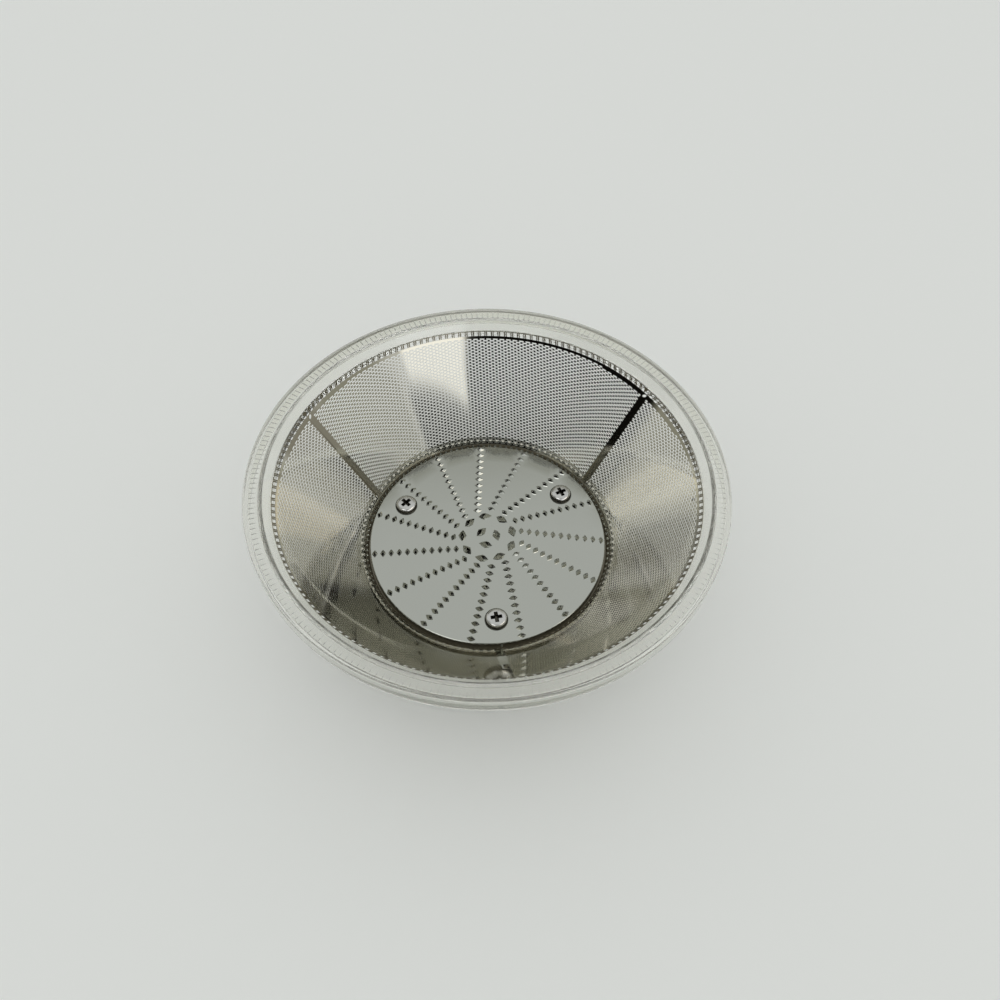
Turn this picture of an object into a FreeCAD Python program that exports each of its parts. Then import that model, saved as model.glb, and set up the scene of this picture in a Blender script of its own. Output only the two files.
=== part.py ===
import FreeCAD, Part
import Sketcher
import math
import os

# Filter basket of a centrifugal juicer: a clear rim ring and a clear hub, both moulded on to the
# edges of an etched steel cone, and a toothed steel disc that three screws hold to the hub.
# Millimetres, +Z up, origin at the middle of the foot that the basket stands on.

doc = FreeCAD.newDocument("juicer_basket")
sheet = doc.addObject("Spreadsheet::Sheet", "dims")

# Driving dimensions, one row each: name, value, what it measures
DIMENSIONS = [
    # cone
    ("seat_height", 17.4, "disc seat above the foot"),
    ("bowl_depth", 36.5, "disc seat to the rim's inner edge"),
    ("cone_angle", 35.8, "mesh wall from the axis, degrees"),
    ("foot_radius", 41.2, "mesh inside, level with the disc seat"),
    ("mesh_thickness", 0.3, "etched sheet"),
    ("panel_count", 3, "panels of gaps, one between each two screws"),
    ("gap_count", 8, "gaps across a panel"),
    ("gap_rows", 3, "rows of gaps up the wall"),
    ("gap_web", 4.6, "steel left between two gaps"),
    ("gap_margin", 1.0, "plain steel between the gaps and the plastic"),
    ("bar_width", 2.4, "plain bar between two panels"),
    # rim ring
    ("rim_band", 3.2, "clear band above the mesh, measured upright"),
    ("rim_lap", 1.8, "plastic behind the top of the mesh, measured upright"),
    ("lap_thickness", 1.4, "plastic behind the top of the mesh"),
    ("flange_width", 5.0, "inner edge to outer edge of the rim"),
    ("flange_thickness", 1.4, "flat of the rim"),
    ("edge_height", 5.7, "turned-down edge of the rim"),
    ("edge_thickness", 1.5, "turned-down edge of the rim"),
    # hub
    ("gutter_depth", 1.6, "disc seat down to the mesh's lower edge"),
    ("collar_rise", 0.6, "collar above the disc seat"),
    ("collar_thickness", 1.6, "plastic behind the mesh's foot"),
    ("skirt_thickness", 1.8, "hub's outer wall"),
    ("floor_thickness", 2.0, "hub's floor"),
    ("socket_diameter", 16.0, "drive socket"),
    ("socket_depth", 13.0, "drive socket"),
    ("socket_wall", 3.2, "wall round the drive socket"),
    ("socket_lift", 1.0, "socket's mouth above the foot"),
    ("key_count", 4, "keyways in the socket"),
    ("key_width", 2.4, "keyway"),
    ("key_depth", 1.4, "keyway"),
    ("rib_count", 6, "ribs under the floor"),
    ("rib_thickness", 1.5, "rib under the floor"),
    ("rib_lift", 4.0, "ribs' lower edge above the foot"),
    ("boss_wall", 2.6, "plastic beside a screw"),
    ("boss_lift", 3.0, "screw block above the foot"),
    # disc
    ("disc_thickness", 0.6, "stamped disc"),
    ("disc_gap", 2.0, "disc's edge to the mesh"),
    ("disc_overhang", 0.6, "disc's edge beyond its seat"),
    ("row_count", 15, "rows of teeth"),
    ("row_turn", 11.2, "first row's heading, degrees"),
    ("row_offset", 3.9, "row's line from the centre"),
    ("tooth_edge", 1.4, "first tooth in from the disc's edge"),
    ("tooth_pitch", 2.68, "teeth along a row"),
    ("tooth_side", 1.35, "square foot of a tooth"),
    ("tooth_height", 1.0, "tooth above the disc"),
    ("crown_count", 9, "large teeth round the middle"),
    ("crown_radius", 8.5, "large teeth from the centre"),
    ("crown_length", 3.2, "large tooth, outwards"),
    ("crown_width", 2.0, "large tooth, across"),
    ("crown_height", 1.4, "large tooth above the disc"),
    ("crown_clearance", 1.2, "large teeth to the ends of the rows"),
    ("core_count", 3, "large teeth at the centre"),
    ("core_radius", 3.0, "teeth at the centre from the axis"),
    # screws
    ("screw_count", 3, "screws"),
    ("screw_edge", 8.35, "screw's axis in from the disc's edge"),
    ("head_diameter", 7.5, "pan head"),
    ("head_height", 2.2, "pan head"),
    ("shank_diameter", 3.2, "shank at the root of its thread"),
    ("shank_length", 11.0, "shank under the head"),
    ("shank_fit", 0.05, "shank to the walls of its hole"),
    ("hole_clearance", 0.5, "shank to the edge of the disc's hole"),
    ("recess_span", 4.2, "cross recess, tip to tip"),
    ("recess_width", 0.9, "arm of the cross recess"),
    ("recess_depth", 1.3, "cross recess"),
    # moulding
    ("weld", 0.5, "how far ribs and bosses run into the wall they grow from"),
]
for line, (alias, start_value, note) in enumerate(DIMENSIONS, start=1):
    sheet.set(f"A{line}", alias)
    sheet.set(f"B{line}", str(start_value))
    sheet.set(f"C{line}", note)
    sheet.setAlias(f"B{line}", alias)
doc.recompute()

FIRST_SCREW = 270


def number(expression):
    """The present value of an expression over the sheet."""
    found = sheet.evalExpression(expression)
    return float(getattr(found, "Value", found))


def size(alias):
    return number(f"dims.{alias}")


def bind(item, **expressions):
    """Ties properties of an object to the sheet; a double underscore stands for a dot."""
    for name, expression in expressions.items():
        item.setExpression(name.replace("__", "."), expression)


def new_body(label):
    body = doc.addObject("PartDesign::Body", label)
    body.Label = label
    return body


def origin_item(body, role):
    return next(item for item in body.Origin.OriginFeatures if item.Role == role)


def new_sketch(body, role, name):
    sketch = body.newObject("Sketcher::SketchObject", name)
    sketch.AttachmentSupport = [(origin_item(body, role), "")]
    sketch.MapMode = "FlatFace"
    return sketch


def pin_point(sketch, edge, end, across, up):
    """Holds one end of an edge at two expressions from the sketch's origin."""
    for kind, expression in (("DistanceX", across), ("DistanceY", up)):
        place = sketch.addConstraint(Sketcher.Constraint(kind, -1, 1, edge, end, number(expression)))
        sketch.setExpression(f"Constraints[{place}]", expression)


def draw_outline(sketch, corners):
    """Closed outline of straight edges through corners given as pairs of expressions."""
    spots = [FreeCAD.Vector(number(across), number(up), 0) for across, up in corners]
    total = len(spots)
    for index, start in enumerate(spots):
        sketch.addGeometry(Part.LineSegment(start, spots[(index + 1) % total]))
    for index in range(total):
        sketch.addConstraint(Sketcher.Constraint("Coincident", index, 2, (index + 1) % total, 1))
    for index, (across, up) in enumerate(corners):
        pin_point(sketch, index, 1, across, up)


def draw_circle(sketch, across, up, radius):
    centre = FreeCAD.Vector(number(across), number(up), 0)
    circle = Part.Circle(centre, FreeCAD.Vector(0, 0, 1), number(radius))
    place = sketch.addGeometry(circle)
    pin_point(sketch, place, 3, across, up)
    held = sketch.addConstraint(Sketcher.Constraint("Radius", place, number(radius)))
    sketch.setExpression(f"Constraints[{held}]", radius)


def revolve(body, name, corners):
    sketch = new_sketch(body, "XZ_Plane", f"{name}_section")
    draw_outline(sketch, corners)
    turned = body.newObject("PartDesign::Revolution", name)
    turned.Profile = sketch
    turned.ReferenceAxis = (sketch, ["V_Axis"])
    turned.Angle = 360
    return turned


def extrude(body, kind, name, sketch, **settings):
    """Pad or Pocket of a sketch, with its length and other settings."""
    feature = body.newObject(f"PartDesign::{kind}", name)
    feature.Profile = sketch
    for key, setting in settings.items():
        if key == "length":
            bind(feature, Length=setting)
        else:
            setattr(feature, key, setting)
    return feature


def repeat_round(body, name, originals, count):
    """Copies features evenly round the upright axis."""
    pattern = body.newObject("PartDesign::PolarPattern", name)
    pattern.Originals = originals
    pattern.Axis = (origin_item(body, "Z_Axis"), [""])
    pattern.Angle = 360
    bind(pattern, Occurrences=count)
    body.Tip = pattern
    return pattern


def on_circle(radius, angle):
    """Expressions for a point on a circle about the axis."""
    return f"({radius}) * cos({angle})", f"({radius}) * sin({angle})"


# Levels and radii that several pieces share, as expressions over the sheet
SEAT = "dims.seat_height"
RIM = "(dims.seat_height + dims.bowl_depth)"
MESH_FOOT = "(dims.seat_height - dims.gutter_depth)"
MESH_TOP = f"({RIM} - dims.rim_band)"
LAP_FOOT = f"({MESH_TOP} - dims.rim_lap)"
COLLAR_TOP = "(dims.seat_height + dims.collar_rise)"
DISC_TOP = "(dims.seat_height + dims.disc_thickness)"
DISC_RADIUS = "(dims.foot_radius - dims.disc_gap)"
SEAT_RADIUS = f"({DISC_RADIUS} - dims.disc_overhang)"
SCREW_RADIUS = f"({DISC_RADIUS} - dims.screw_edge)"


def mesh_inside(level):
    return f"(dims.foot_radius + ({level} - dims.seat_height) * tan(dims.cone_angle))"


def mesh_outside(level):
    return f"({mesh_inside(level)} + dims.mesh_thickness / cos(dims.cone_angle))"


def make_rim_ring():
    """Ring moulded on to the mesh's top edge: a clear band that carries on the cone, a flat
    flange, and an edge turned down outside. The mesh lies in a rebate behind the band."""
    body = new_body("rim_ring")
    outer = f"({mesh_inside(RIM)} + dims.flange_width)"
    edge_foot = f"({RIM} - dims.edge_height)"
    underside = f"({RIM} - dims.flange_thickness)"
    revolve(body, "ring_wall", [
        (mesh_inside(RIM), RIM),
        (outer, RIM),
        (outer, edge_foot),
        (f"{outer} - dims.edge_thickness", edge_foot),
        (f"{outer} - dims.edge_thickness", underside),
        (f"{mesh_outside(underside)} + dims.lap_thickness", underside),
        (f"{mesh_outside(LAP_FOOT)} + dims.lap_thickness", LAP_FOOT),
        (mesh_outside(LAP_FOOT), LAP_FOOT),
        (mesh_outside(MESH_TOP), MESH_TOP),
        (mesh_inside(MESH_TOP), MESH_TOP),
    ])
    return body


def make_mesh_cone():
    """Etched sheet rolled into a cone. Three panels of gaps, row over row and half a step
    apart, leave plain bars at the screws' headings and plain margins where the plastic grips."""
    wall = new_body("mesh_wall")
    revolve(wall, "rolled_sheet", [
        (mesh_inside(MESH_FOOT), MESH_FOOT),
        (mesh_outside(MESH_FOOT), MESH_FOOT),
        (mesh_outside(MESH_TOP), MESH_TOP),
        (mesh_inside(MESH_TOP), MESH_TOP),
    ])
    doc.recompute()
    gaps = doc.addObject("Part::Feature", "mesh_gaps")
    gaps.Shape = Part.makeCompound(gap_cutters())
    gaps.Placement = FreeCAD.Placement()
    cone = doc.addObject("Part::Cut", "mesh_cone")
    cone.Label = "mesh_cone"
    cone.Base = wall
    cone.Tool = gaps
    return cone


def gap_cutters():
    """One cutter for each gap: a block with level top and bottom and sides that point at the
    axis. Every second row is shifted by half a gap and ends in half gaps at the bars."""
    low = number(COLLAR_TOP) + size("gap_margin")
    high = number(LAP_FOOT) - size("gap_margin")
    rows = int(size("gap_rows"))
    web = size("gap_web")
    rise = (high - low + web) / rows - web
    panel = 360 / size("panel_count")
    count = int(size("gap_count"))
    cutters = []
    for row in range(rows):
        foot = low + row * (rise + web)
        inside = number(mesh_inside(str(foot)))
        outside = number(mesh_outside(str(foot + rise)))
        corners = [(inside, foot), (outside, foot), (outside, foot + rise), (inside, foot + rise)]
        spots = [FreeCAD.Vector(across, 0, up) for across, up in corners]
        face = Part.Face(Part.makePolygon(spots + spots[:1]))
        bar = math.degrees(size("bar_width") / inside)
        strip = math.degrees(web / inside)
        span = (panel - bar - (count - 1) * strip) / count
        if row % 2 == 0:
            spans = [(place * (span + strip), span) for place in range(count)]
        else:
            half = (span - strip) / 2
            spans = [(half + strip + place * (span + strip), span) for place in range(count - 1)]
            spans = [(0, half)] + spans + [(panel - bar - half, half)]
        for start in range(int(size("panel_count"))):
            first = FIRST_SCREW + start * panel + bar / 2
            for offset, width in spans:
                block = face.revolve(FreeCAD.Vector(), FreeCAD.Vector(0, 0, 1), width)
                block.rotate(FreeCAD.Vector(), FreeCAD.Vector(0, 0, 1), first + offset)
                cutters.append(block)
    return cutters


def make_base_hub():
    """Hub moulded on to the mesh's foot: a collar behind the mesh, a gutter that the sheet's
    edge stands in, a raised seat for the disc, a skirt to stand on and the drive socket."""
    body = new_body("base_hub")
    outside = f"({mesh_outside(COLLAR_TOP)} + dims.collar_thickness)"
    inside = f"({outside} - dims.skirt_thickness)"
    socket_outside = "(dims.socket_diameter / 2 + dims.socket_wall)"
    underside = f"({MESH_FOOT} - dims.floor_thickness)"
    revolve(body, "hub_wall", [
        ("0", SEAT),
        (SEAT_RADIUS, SEAT),
        (SEAT_RADIUS, MESH_FOOT),
        (mesh_outside(MESH_FOOT), MESH_FOOT),
        (mesh_outside(COLLAR_TOP), COLLAR_TOP),
        (outside, COLLAR_TOP),
        (outside, "0"),
        (inside, "0"),
        (inside, underside),
        (socket_outside, underside),
        (socket_outside, "dims.socket_lift"),
        ("0", "dims.socket_lift"),
    ])

    rib_sketch = new_sketch(body, "YZ_Plane", "rib_section")
    draw_outline(rib_sketch, [
        (f"{socket_outside} - dims.weld", "dims.rib_lift"),
        (f"{inside} + dims.weld", "dims.rib_lift"),
        (f"{inside} + dims.weld", f"{underside} + dims.weld"),
        (f"{socket_outside} - dims.weld", f"{underside} + dims.weld"),
    ])
    rib = extrude(body, "Pad", "rib", rib_sketch, length="dims.rib_thickness", SideType="Symmetric")
    repeat_round(body, "ribs", [rib], "dims.rib_count")

    screw_across, screw_up = on_circle(SCREW_RADIUS, FIRST_SCREW)
    block = "(dims.shank_diameter / 2 + dims.shank_fit + dims.boss_wall)"
    boss_sketch = new_sketch(body, "XY_Plane", "boss_section")
    bind(boss_sketch, AttachmentOffset__Base__z="dims.boss_lift")
    draw_outline(boss_sketch, [
        (f"{screw_across} - {block}", f"{screw_up} - {block}"),
        (f"{screw_across} + {block}", f"{screw_up} - {block}"),
        (f"{screw_across} + {block}", f"{screw_up} + {block}"),
        (f"{screw_across} - {block}", f"{screw_up} + {block}"),
    ])
    boss = extrude(body, "Pad", "boss", boss_sketch, length=f"{underside} + dims.weld - dims.boss_lift")
    repeat_round(body, "bosses", [boss], "dims.screw_count")

    pilot_sketch = new_sketch(body, "XY_Plane", "pilot_section")
    bind(pilot_sketch, AttachmentOffset__Base__z=SEAT)
    draw_circle(pilot_sketch, screw_across, screw_up, "dims.shank_diameter / 2 + dims.shank_fit")
    pilot = extrude(body, "Pocket", "pilot", pilot_sketch, length="dims.shank_length")
    repeat_round(body, "pilots", [pilot], "dims.screw_count")

    socket_sketch = new_sketch(body, "XY_Plane", "socket_section")
    bind(socket_sketch, AttachmentOffset__Base__z="dims.socket_lift")
    draw_circle(socket_sketch, "0", "0", "dims.socket_diameter / 2")
    extrude(body, "Pocket", "socket", socket_sketch, length="dims.socket_depth", Reversed=True)

    key_sketch = new_sketch(body, "XY_Plane", "key_section")
    bind(key_sketch, AttachmentOffset__Base__z="dims.socket_lift")
    key_end = "dims.socket_diameter / 2 + dims.key_depth"
    draw_outline(key_sketch, [
        ("0", "-dims.key_width / 2"),
        (key_end, "-dims.key_width / 2"),
        (key_end, "dims.key_width / 2"),
        ("0", "dims.key_width / 2"),
    ])
    key = extrude(body, "Pocket", "key", key_sketch, length="dims.socket_depth", Reversed=True)
    repeat_round(body, "keys", [key], "dims.key_count")
    return body


def make_tooth(body, name, spot, length, width, height, turn):
    """Four-sided point that the punch raised out of the disc."""
    tooth = body.newObject("PartDesign::AdditiveWedge", name)
    tooth.AttachmentSupport = [(origin_item(body, "XZ_Plane"), "")]
    tooth.MapMode = "FlatFace"
    upright = FreeCAD.Rotation(FreeCAD.Vector(0, 1, 0), turn)
    tooth.AttachmentOffset = FreeCAD.Placement(FreeCAD.Vector(), upright)
    across, along = spot
    bind(
        tooth,
        AttachmentOffset__Base__x=across,
        AttachmentOffset__Base__y="dims.disc_thickness",
        AttachmentOffset__Base__z=f"-({along})",
        Xmin=f"-({length}) / 2",
        Xmax=f"({length}) / 2",
        Zmin=f"-({width}) / 2",
        Zmax=f"({width}) / 2",
        X2min="0",
        X2max="0",
        Z2min="0",
        Z2max="0",
        Ymin="0",
        Ymax=height,
    )
    return tooth


def make_grater_disc():
    """Stamped disc. Rows of punched points run inwards past the centre, larger points stand
    round the middle."""
    body = new_body("grater_disc")
    blank_sketch = new_sketch(body, "XY_Plane", "blank_section")
    draw_circle(blank_sketch, "0", "0", DISC_RADIUS)
    extrude(body, "Pad", "blank", blank_sketch, length="dims.disc_thickness")

    hole_sketch = new_sketch(body, "XY_Plane", "hole_section")
    bind(hole_sketch, AttachmentOffset__Base__z="dims.disc_thickness")
    hole_spot = on_circle(SCREW_RADIUS, f"{FIRST_SCREW} - dims.row_turn")
    draw_circle(hole_sketch, *hole_spot, "dims.shank_diameter / 2 + dims.hole_clearance")
    hole = extrude(body, "Pocket", "hole", hole_sketch, Type="ThroughAll")
    repeat_round(body, "holes", [hole], "dims.screw_count")
    doc.recompute()

    large = ("dims.crown_length", "dims.crown_width", "dims.crown_height")
    crown = make_tooth(body, "crown_tooth", ("dims.crown_radius", "0"), *large, 0)
    repeat_round(body, "crown", [crown], "dims.crown_count")
    core = make_tooth(body, "core_tooth", ("dims.core_radius", "0"), *large, 0)
    repeat_round(body, "core", [core], "dims.core_count")

    side = "dims.tooth_side"
    start = f"sqrt(({DISC_RADIUS} - dims.tooth_edge) ^ 2 - dims.row_offset ^ 2)"
    tooth = make_tooth(body, "tooth", (start, "dims.row_offset"), side, side, "dims.tooth_height", 45)
    along = body.newObject("PartDesign::LinearPattern", "tooth_row")
    along.Direction = (origin_item(body, "X_Axis"), [""])
    along.Reversed = True
    inner_end = "dims.crown_radius + dims.crown_length / 2 + dims.crown_clearance"
    count = f"floor(({start} - sqrt(({inner_end}) ^ 2 - dims.row_offset ^ 2)) / dims.tooth_pitch) + 1"
    bind(along, Occurrences=count, Length=f"({count} - 1) * dims.tooth_pitch")
    round_disc = body.newObject("PartDesign::PolarPattern", "tooth_rows")
    round_disc.Axis = (origin_item(body, "Z_Axis"), [""])
    round_disc.Angle = 360
    bind(round_disc, Occurrences="dims.row_count")
    teeth = body.newObject("PartDesign::MultiTransform", "teeth")
    teeth.Originals = [tooth]
    teeth.Transformations = [along, round_disc]
    body.Tip = teeth

    body.Placement = FreeCAD.Placement(FreeCAD.Vector(), FreeCAD.Rotation(FreeCAD.Vector(0, 0, 1), 0))
    bind(body, Placement__Base__z=SEAT, Placement__Rotation__Angle="dims.row_turn")
    return body


def make_disc_screws():
    """Three tapping screws with pan heads and a cross recess."""
    body = new_body("one_screw")
    shank = "dims.shank_diameter / 2"
    revolve(body, "turned_screw", [
        ("0", "dims.head_height"),
        ("dims.head_diameter / 2", "dims.head_height"),
        ("dims.head_diameter / 2", "0"),
        (shank, "0"),
        (shank, "-dims.shank_length"),
        ("0", "-dims.shank_length"),
    ])
    cross_sketch = new_sketch(body, "XY_Plane", "cross_section")
    bind(cross_sketch, AttachmentOffset__Base__z="dims.head_height")
    tip = "dims.recess_span / 2"
    arm = "dims.recess_width / 2"
    quarter = [(tip, f"-{arm}"), (tip, arm), (arm, arm)]
    turned = [(f"-({up})", across) for across, up in quarter]
    outline = quarter + turned
    outline = outline + [(f"-({across})", f"-({up})") for across, up in outline]
    draw_outline(cross_sketch, outline)
    extrude(body, "Pocket", "cross", cross_sketch, length="dims.recess_depth")
    doc.recompute()

    screws = doc.addObject("Part::Feature", "disc_screws")
    screws.Label = "disc_screws"
    copies = []
    for place in range(int(size("screw_count"))):
        heading = math.radians(FIRST_SCREW + place * 360 / size("screw_count"))
        reach = number(SCREW_RADIUS)
        spot = FreeCAD.Vector(reach * math.cos(heading), reach * math.sin(heading), number(DISC_TOP))
        copy = body.Shape.copy()
        copy.Placement = FreeCAD.Placement(spot, FreeCAD.Rotation(FreeCAD.Vector(0, 0, 1), 0))
        copies.append(copy)
    screws.Shape = Part.makeCompound(copies)
    screws.Placement = FreeCAD.Placement()
    return screws


nodes = [make_rim_ring(), make_mesh_cone(), make_base_hub(), make_grater_disc(), make_disc_screws()]
doc.recompute()

for item in doc.Objects:
    if "Invalid" in item.State or "Error" in item.State:
        raise RuntimeError(f"{item.Label} failed: {item.State}")
for node in nodes:
    if node.Shape.isNull() or not node.Shape.isValid():
        raise RuntimeError(f"{node.Label} has no valid shape")

os.makedirs("parts", exist_ok=True)
for node in nodes:
    node.Shape.exportStep(f"parts/{node.Label}.step")
    print(node.Label, len(node.Shape.Solids), "solids", round(node.Shape.Volume, 1), "mm3")
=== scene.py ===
import math

import bmesh
import bpy
import numpy as np
from mathutils import Matrix, Vector
from mathutils.geometry import delaunay_2d_cdt


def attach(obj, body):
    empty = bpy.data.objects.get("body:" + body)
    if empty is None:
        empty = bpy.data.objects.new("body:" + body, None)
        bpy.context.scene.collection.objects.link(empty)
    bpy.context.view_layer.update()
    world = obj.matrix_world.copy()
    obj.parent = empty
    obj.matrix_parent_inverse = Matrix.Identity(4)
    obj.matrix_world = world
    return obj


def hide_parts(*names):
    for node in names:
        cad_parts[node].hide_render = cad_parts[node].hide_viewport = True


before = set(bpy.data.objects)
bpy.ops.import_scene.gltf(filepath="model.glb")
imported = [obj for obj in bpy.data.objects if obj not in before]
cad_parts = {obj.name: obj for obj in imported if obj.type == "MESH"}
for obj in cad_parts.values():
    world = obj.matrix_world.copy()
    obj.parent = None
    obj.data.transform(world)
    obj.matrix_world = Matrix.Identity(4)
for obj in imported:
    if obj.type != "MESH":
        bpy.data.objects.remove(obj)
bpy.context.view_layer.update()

# Mesh cone
# The sieve is one thin stainless sheet, etched with fine eight-sided slots and rolled into a cone.
# Plain bars part its three panels, and its edges are cast into the clear rim and the clear hub,
# which grip it through a row of square anchor holes along each edge.
MM = 0.001  # Sizes are given in millimetres, and the scene counts in metres.
CONE_ANGLE = math.radians(35.8)
SEAT_LEVEL = 17.4
SEAT_MESH_RADIUS = 41.2
MESH_FOOT_LEVEL = 15.8
MESH_TOP_LEVEL = 50.2
SHEET_THICKNESS = 0.2
HOLE_PITCH = 2.30
HOLE_ROW_STEP = 0.5375
HOLE_HALF_LENGTH = 0.82
HOLE_HALF_TIP = 0.15
HOLE_HALF_FLAT = 0.64
HOLE_HALF_HEIGHT = 0.215
HOLE_LEAST_WIDTH = 0.4
HOLE_ROWS_FROM = 70.95
HOLE_ROWS_TO = 108.25
HOLE_CORNER_DROP = 0.8
HOLE_CORNER_POWER = 0.25
BAR_WIDTH = 2.6
BAR_EYE_RADIUS = 0.6
BAR_EYE_SIDES = 16
BAR_EYE_SLANT = 108.3
PANEL_EDGE_SHIFT = 0.9
RIM_ANCHORS = 59
RIM_ANCHOR_SLANT = 109.9
RIM_ANCHOR_SIZE = (1.3, 1.45)
RIM_SLIT_SIZE = (0.25, 1.45)
FOOT_ANCHORS = 42
FOOT_ANCHOR_SLANT = 69.45
FOOT_ANCHOR_SIZE = (0.9, 0.95)
PANEL_HALF_TURN = math.pi / 3
RIM_COVERS_FROM = 48.75
RIM_COVER_FADE = 0.25
HUB_COVERS_TO = 17.75
HUB_COVER_FADE = 0.3
CAST_IN_SHEEN = 0.35
SPECK_PLACE = (61.7, -10.6, 47.0)
SPECK_GRAIN = 0.4
SPECK_EDGE = (0.2, 0.3)
FOOT_TUCK_FROM = 18.5
FOOT_TUCK_RUN = 0.4
FOOT_TUCK = 0.45
SIEVE_TINT = "#C4C1B4"
CAST_IN_TINT = "#6E6857"
PULP_TINT = "#2A2620"
ROLLING_STRETCH = 12
WIPED_PATCH = 14
ROLLED_FACE_LEAST = 0.9
PANEL_STEPS = 96
BAR_STEPS = 24


def srgb(code, alpha=1.0):
    """Linear colour of an sRGB hex code."""
    channels = [int(code[place:place + 2], 16) / 255 for place in (1, 3, 5)]
    lit = [c / 12.92 if c <= 0.04045 else ((c + 0.055) / 1.055) ** 2.4 for c in channels]
    return (*lit, alpha)


def add_node(tree, kind, settings=(), links=()):
    """Adds a node, sets its options and sockets by name, and links sockets to it."""
    node = tree.nodes.new(kind)
    for name, value in settings:
        if name in node.inputs:
            node.inputs[name].default_value = value
        else:
            setattr(node, name, value)
    for name, source in links:
        tree.links.new(source, node.inputs[name])
    return node


def new_material(name):
    """Empty node material and its tree, with the output node."""
    material = bpy.data.materials.new(name)
    material.use_nodes = True
    tree = material.node_tree
    tree.nodes.clear()
    return material, tree, tree.nodes.new("ShaderNodeOutputMaterial")


def rolled_stainless(name, tint, grain_mm, polish, wear):
    """Cold-rolled stainless sheet: the eye sees sharp reflections, slightly drawn out along the
    rolling direction by fine grain, and faint cloudy patches where it was wiped. Real grain is
    finer than the render shows, so it is drawn coarser."""
    material, tree, output = new_material(name)
    place = add_node(tree, "ShaderNodeTexCoord")
    fine = 1 / (grain_mm * MM)
    drawn_out = 1 / (grain_mm * ROLLING_STRETCH * MM)
    grain_stretch = add_node(
        tree, "ShaderNodeMapping", [("Scale", (fine, drawn_out, fine))],
        [("Vector", place.outputs["Object"])])
    grain = add_node(
        tree, "ShaderNodeTexNoise", [("Scale", 1.0), ("Detail", 3.0), ("Roughness", 0.6)],
        [("Vector", grain_stretch.outputs["Vector"])])
    wiped = add_node(
        tree, "ShaderNodeTexNoise",
        [("Scale", 1 / (WIPED_PATCH * MM)), ("Detail", 4.0), ("Roughness", 0.55)],
        [("Vector", place.outputs["Object"])])
    rough = add_node(
        tree, "ShaderNodeMapRange",
        [("From Min", 0.3), ("From Max", 0.7), ("To Min", polish), ("To Max", polish + wear)],
        [("Value", wiped.outputs["Fac"])])
    relief = add_node(
        tree, "ShaderNodeBump", [("Strength", 0.12), ("Distance", 0.01 * MM)],
        [("Height", grain.outputs["Fac"])])
    shader = add_node(
        tree, "ShaderNodeBsdfPrincipled", [("Base Color", srgb(tint)), ("Metallic", 1.0)],
        [("Roughness", rough.outputs["Result"]), ("Normal", relief.outputs["Normal"])])
    tree.links.new(shader.outputs["BSDF"], output.inputs["Surface"])
    return material, shader


def add_piece(name, points, faces, material, node, crease=30):
    """Mesh object from points in millimetres: outward faces, soft shading up to the crease angle.
    It rides on the part, and stands for its CAD node where one is named."""
    mesh = bpy.data.meshes.new(name)
    mesh.from_pydata((np.asarray(points, dtype=float) * MM).tolist(), [], faces)
    work = bmesh.new()
    work.from_mesh(mesh)
    bmesh.ops.recalc_face_normals(work, faces=work.faces)
    work.to_mesh(mesh)
    work.free()
    mesh.shade_smooth()
    mesh.set_sharp_from_angle(angle=math.radians(crease))
    mesh.materials.append(material)
    piece = bpy.data.objects.new(name, mesh)
    bpy.context.collection.objects.link(piece)
    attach(piece, "root")
    if node:
        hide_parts(node)
    return piece


def cut_sheet(outline, holes):
    """Triangles of a flat sheet with holes. Gives all points, the triangles and the loops of
    point numbers, the outline first."""
    points = []
    loops = []
    for ring in [outline] + holes:
        loops.append(list(range(len(points), len(points) + len(ring))))
        points.extend(ring)
    owner = {point: number for number, loop in enumerate(loops) for point in loop}
    edges = [(loop[place - 1], loop[place]) for loop in loops for place in range(len(loop))]
    found = delaunay_2d_cdt([Vector(point) for point in points], edges, [], 2, 1e-6, True)
    triangles, origins = found[2], found[3]
    number = [origin[0] for origin in origins]
    kept = []
    for triangle in triangles:
        ends = [number[corner] for corner in triangle]
        rings = {owner[end] for end in ends}
        if len(rings) > 1 or 0 in rings:
            kept.append(ends)
    return points, kept, loops


def slant_of(level):
    """Distance from the cone's tip, along the wall, to a level of the wall's inside."""
    radius = SEAT_MESH_RADIUS + (level - SEAT_LEVEL) * math.tan(CONE_ANGLE)
    return radius / math.sin(CONE_ANGLE)


def unrolled(along, slant):
    """Point of the unrolled sheet: along the row from the panel's middle, and out from the tip."""
    turn = along / slant
    return slant * math.sin(turn), slant * math.cos(turn)


def panel_half(slant):
    """Half a panel's width, measured round the cone."""
    return slant * math.sin(CONE_ANGLE) * PANEL_HALF_TURN


def patch(along, slant, outline):
    """Outline of a hole, set out on the unrolled sheet."""
    return [unrolled(along + right, slant + up) for right, up in outline]


def rectangle(width, height):
    right, top = width / 2, height / 2
    return [(-right, -top), (right, -top), (right, top), (-right, top)]


def circle(radius, steps, across=0.0, up=0.0):
    turns = np.linspace(0, 2 * math.pi, steps, endpoint=False)
    return [(across + radius * math.cos(turn), up + radius * math.sin(turn)) for turn in turns]


def panel_border(share, slant):
    """Point on the unrolled panel's outline, where shares of -1 and 1 are its two side edges."""
    return unrolled(panel_half(slant) * share + PANEL_EDGE_SHIFT, slant)


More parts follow.
